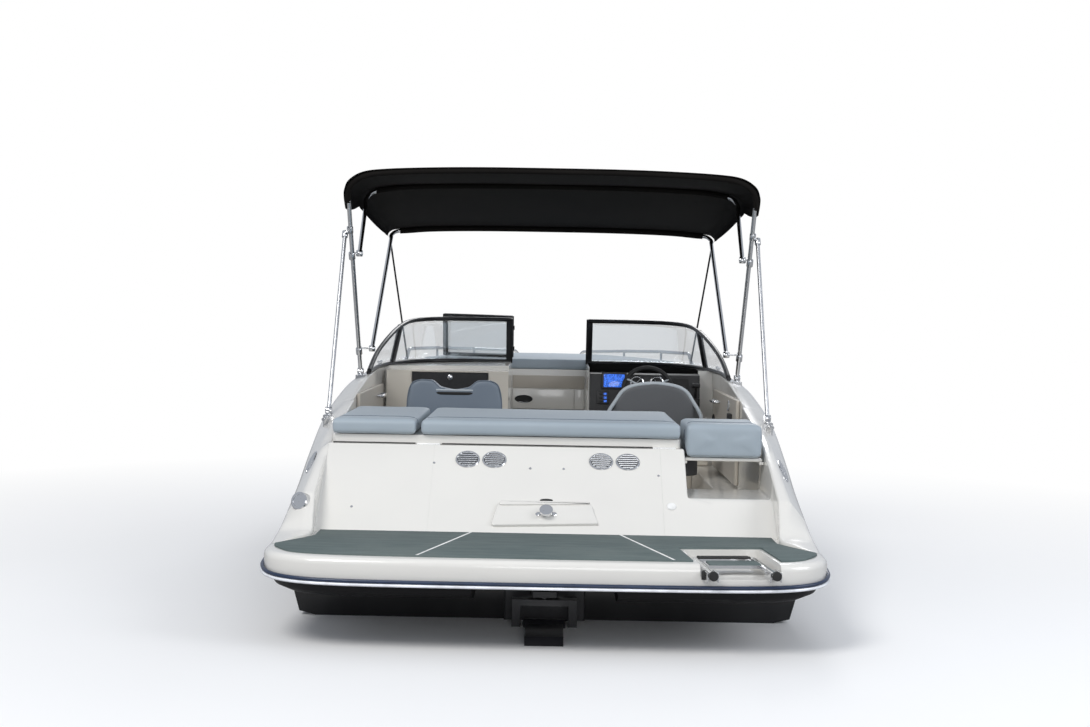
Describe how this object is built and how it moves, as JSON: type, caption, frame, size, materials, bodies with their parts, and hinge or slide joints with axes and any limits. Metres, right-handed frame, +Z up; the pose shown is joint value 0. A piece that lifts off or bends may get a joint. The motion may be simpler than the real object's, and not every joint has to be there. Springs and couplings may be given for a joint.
{
  "type": "open bowrider speedboat with sun top",
  "caption": "Open speedboat with a stern drive, a swim platform with a folding ladder, a walk-through windscreen, a sun pad over the engine and a folding sun top.",
  "frame": {"origin": "on the centreline at the waterline, 30 mm ahead of the transom", "axes": "+Y towards the bow, +X to starboard, +Z up"},
  "size_m": [2.514, 6.4538, 3.0977],
  "materials": {
    "hull_gelcoat": "glossy black gelcoat",
    "deck_gelcoat": "glossy warm white gelcoat",
    "console_gelcoat": "cream gelcoat",
    "rub_rail": "navy rub rail",
    "platform_foam": "grey-green foam mat, fine texture",
    "floor_mat": "woven floor mat",
    "engine_iron": "painted casting",
    "liner_vinyl": "padded vinyl",
    "pad_vinyl": "light blue-grey marine vinyl",
    "slate_vinyl": "slate marine vinyl",
    "helm_vinyl": "dark grey marine vinyl",
    "canvas": "black woven canvas",
    "webbing": "black webbing",
    "stainless": "polished stainless steel",
    "propeller_steel": "polished",
    "pole_tube": "bright anodised tube",
    "frame_black": "black anodised frame",
    "dash_plastic": "black moulded plastic",
    "drive_paint": "black marine paint",
    "screen_glass": "clear tinted glass",
    "lamp_lens": "blue lens"
  },
  "bodies": {
    "root": {"bench_cushions": "slate_vinyl", "bow_cushions": "pad_vinyl", "bow_fittings": "stainless", "bow_rails": "stainless", "bow_step": "deck_gelcoat", "cleats": "stainless", "cockpit_floor_mat": "floor_mat", "deck_moulding": "deck_gelcoat", "engine_block": "engine_iron", "filler_board": "deck_gelcoat", "filler_pad": "pad_vinyl", "gimbal_housing": "drive_paint", "helm_console": "console_gelcoat", "helm_dash": "dash_plastic", "helm_seat_pedestal": "stainless", "hull": "hull_gelcoat", "ladder_brackets": "stainless", "platform_mats": "platform_foam", "port_console": "console_gelcoat", "port_seat_cushion": "slate_vinyl", "rub_rail": "rub_rail", "seat_bases": "deck_gelcoat", "side_liners": "liner_vinyl", "sun_top_cover": "canvas", "sun_top_fittings": "stainless", "sun_top_main_bow": "stainless", "sun_top_poles": "pole_tube", "sun_top_straps": "webbing", "swim_platform": "deck_gelcoat", "throttle_control": "dash_plastic", "tow_eye": "stainless", "transom_vents": "stainless", "underwater_lights": "lamp_lens", "windshield_frame": "frame_black", "windshield_glass": "screen_glass"},
    "hatch": {"engine_hatch_lid": "deck_gelcoat", "sun_pad_port": "pad_vinyl", "sun_pad_middle": "pad_vinyl"},
    "screen_gate": {"screen_gate_frame": "frame_black", "screen_gate_glass": "screen_glass"},
    "helm_seat": {"helm_seat": "helm_vinyl"},
    "port_seat_back": {"port_seat_back": "slate_vinyl"},
    "glovebox_door": {"glovebox_door": "dash_plastic"},
    "steering_ring": {"steering_ring": "drive_paint"},
    "steering_wheel": {"steering_wheel": "dash_plastic"},
    "drive": {"drive_leg": "drive_paint"},
    "propeller": {"propeller": "propeller_steel"},
    "ram_cylinders": {"trim_ram_cylinders": "drive_paint"},
    "ram_rods": {"trim_ram_rods": "stainless"},
    "ladder_upper": {"ladder_upper": "stainless"},
    "ladder_middle": {"ladder_middle": "stainless"},
    "ladder_lower": {"ladder_lower": "stainless"},
    "sun_top_front": {"sun_top_front_bow": "stainless"},
    "sun_top_middle": {"sun_top_middle_bow": "stainless"}
  },
  "joints": [
    {"name": "engine_hatch", "type": "hinge", "parent": "root", "child": "hatch", "pos_m": [0, 0.422, 0.7753], "axis": [1, 0, 0], "range_deg": [0, 50]},
    {"name": "screen_gate", "type": "hinge", "parent": "root", "child": "screen_gate", "pos_m": [-0.25, 3.476, 1.09236], "axis": [0, 0.2581, -0.9661], "range_deg": [0, 177]},
    {"name": "helm_seat_swivel", "type": "hinge", "parent": "root", "child": "helm_seat", "pos_m": [0.633, 2.15, 0.47], "axis": [0, 0, 1], "range_deg": [-180, 180]},
    {"name": "port_seat_fold", "type": "hinge", "parent": "root", "child": "port_seat_back", "pos_m": [-0.56, 1.978, 0.612], "axis": [-1, 0, 0], "range_deg": [0, 88]},
    {"name": "glovebox", "type": "hinge", "parent": "root", "child": "glovebox_door", "pos_m": [-0.641, 2.692, 0.926], "axis": [1, 0, 0], "range_deg": [0, 85]},
    {"name": "drive_steer", "type": "hinge", "parent": "root", "child": "steering_ring", "pos_m": [0, -0.18, -0.02], "axis": [0, 0, 1], "range_deg": [-28, 28]},
    {"name": "steering_wheel_turn", "type": "hinge", "parent": "root", "child": "steering_wheel", "pos_m": [0.64, 2.605, 0.95], "axis": [0, 0.9063, -0.4226], "range_deg": [-540, 540]},
    {"name": "drive_trim", "type": "hinge", "parent": "steering_ring", "child": "drive", "pos_m": [0, -0.18, -0.02], "axis": [-1, 0, 0], "range_deg": [0, 38]},
    {"name": "propeller_spin", "type": "hinge", "parent": "drive", "child": "propeller", "pos_m": [0, -0.708, -0.62], "axis": [0, 1, 0], "continuous": true},
    {"name": "ram_swing", "type": "hinge", "parent": "steering_ring", "child": "ram_cylinders", "pos_m": [0, -0.175, -0.205], "axis": [-1, 0, 0], "range_deg": [0, 30.18]},
    {"name": "ram_stroke", "type": "slide", "parent": "ram_cylinders", "child": "ram_rods", "axis": [0, -0.9582, 0.2862], "range_m": [0, 0.1023]},
    {"name": "ladder_swing", "type": "hinge", "parent": "root", "child": "ladder_upper", "pos_m": [0.829, -0.838, 0.366], "axis": [0.9945, 0.1045, 0], "range_deg": [0, 252]},
    {"name": "ladder_middle_slide", "type": "slide", "parent": "ladder_upper", "child": "ladder_middle", "axis": [-0.1045, 0.9945, 0], "range_m": [0, 0.261]},
    {"name": "ladder_lower_slide", "type": "slide", "parent": "ladder_middle", "child": "ladder_lower", "axis": [-0.1045, 0.9945, 0], "range_m": [0, 0.261]},
    {"name": "sun_top_fold", "type": "hinge", "parent": "root", "child": "sun_top_front", "pos_m": [0, 2.06053, 1.20294], "axis": [1, 0, 0], "range_deg": [0, 85.29], "deforming": ["sun_top_cover", "sun_top_straps"]},
    {"name": "sun_top_middle_fold", "type": "hinge", "parent": "root", "child": "sun_top_middle", "pos_m": [0, 1.67844, 1.76544], "axis": [1, 0, 0], "range_deg": [0, 72.31]}
  ],
  "couplings": [
    {"joint": "steering_wheel_turn", "follows": "drive_steer", "ratio": 19},
    {"joint": "ram_swing", "follows": "drive_trim", "ratio": 0.78099},
    {"joint": "ram_stroke", "follows": "drive_trim", "m_per_rad": 0.15275},
    {"joint": "ladder_middle_slide", "follows": "ladder_swing", "m_per_rad": 0.059115},
    {"joint": "ladder_lower_slide", "follows": "ladder_swing", "m_per_rad": 0.059115},
    {"joint": "sun_top_middle_fold", "follows": "sun_top_fold", "ratio": 0.84549}
  ]
}
